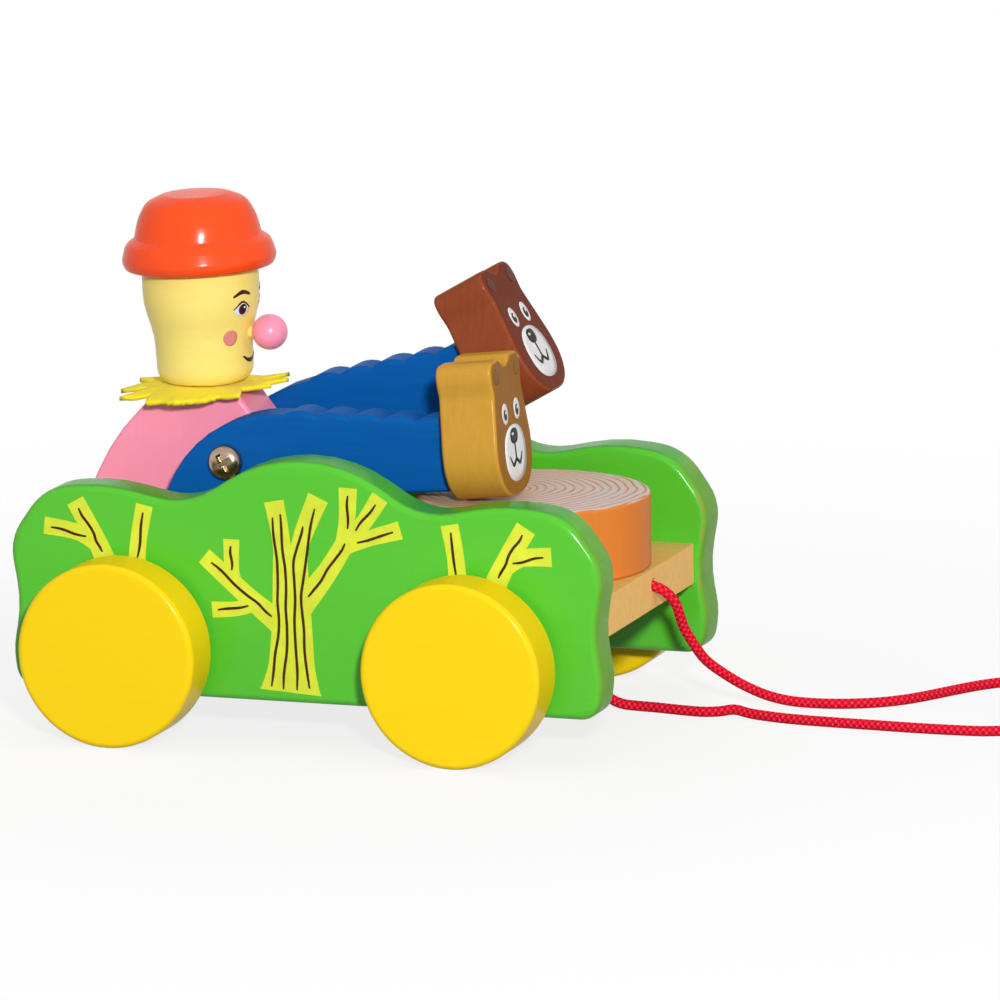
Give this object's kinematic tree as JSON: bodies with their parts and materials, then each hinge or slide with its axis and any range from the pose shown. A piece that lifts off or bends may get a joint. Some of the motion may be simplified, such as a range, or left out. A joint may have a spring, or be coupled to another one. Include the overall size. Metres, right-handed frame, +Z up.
{
  "type": "toddler push toy",
  "caption": "Painted wooden pull-along toy: a hatted driver between green side panels swings two bear-head hammers onto a tree stump as the yellow wheels turn, with a red cord.",
  "frame": {"origin": "on the floor, under the middle of the two side panels", "axes": "+X forward along the pull, +Y to the far side, +Z up"},
  "size_m": [0.296, 0.1463, 0.1398],
  "materials": {
    "panel_paint": "gloss",
    "plain_wood": "satin",
    "stump_paint": "satin",
    "body_paint": "gloss",
    "ruff_felt": "matte",
    "head_paint": "gloss",
    "nose_paint": "gloss",
    "hat_paint": "gloss",
    "screw_metal": "polished",
    "wheel_paint": "gloss",
    "arm_paint": "satin",
    "tan_paint": "gloss",
    "brown_paint": "gloss",
    "cord_fabric": "matte",
    "tie_plastic": "matte"
  },
  "bodies": {
    "chassis": {"side_panel_near": "panel_paint", "side_panel_far": "panel_paint", "deck": "plain_wood", "panel_dowels": "plain_wood", "stump": "stump_paint", "stump_dowel": "plain_wood", "driver_body": "body_paint", "body_dowels": "plain_wood", "ruff": "ruff_felt", "driver_head": "head_paint", "neck_dowel": "plain_wood", "driver_nose": "nose_paint", "driver_hat": "hat_paint", "hat_dowel": "plain_wood", "pivot_screws": "screw_metal", "cord_lead_front": "cord_fabric", "cord_lead_under": "cord_fabric", "cord_coil": "cord_fabric", "cord_tie": "tie_plastic"},
    "rear_axle_set": {"rear_axle": "plain_wood", "rear_wheel_near": "wheel_paint", "rear_wheel_far": "wheel_paint", "cam_near": "plain_wood", "cam_far": "plain_wood"},
    "front_axle_set": {"front_axle": "plain_wood", "front_wheel_near": "wheel_paint", "front_wheel_far": "wheel_paint"},
    "arm_near_set": {"arm_near": "arm_paint", "bear_head_near": "tan_paint", "head_dowel_near": "plain_wood"},
    "arm_far_set": {"arm_far": "arm_paint", "bear_head_far": "brown_paint", "head_dowel_far": "plain_wood"}
  },
  "joints": [
    {"name": "rear_axle_spin", "type": "hinge", "parent": "chassis", "child": "rear_axle_set", "pos_m": [-0.0505, 0, 0.025], "axis": [0, 1, 0], "continuous": true},
    {"name": "front_axle_spin", "type": "hinge", "parent": "chassis", "child": "front_axle_set", "pos_m": [0.0465, 0, 0.025], "axis": [0, 1, 0], "continuous": true},
    {"name": "arm_near_lift", "type": "hinge", "parent": "chassis", "child": "arm_near_set", "pos_m": [-0.0324, 0, 0.0702], "axis": [0, -1, 0], "range_deg": [0, 17.5]},
    {"name": "arm_far_lift", "type": "hinge", "parent": "chassis", "child": "arm_far_set", "pos_m": [-0.0324, 0, 0.0702], "axis": [0, -1, 0], "range_deg": [-14, 3.5]}
  ]
}
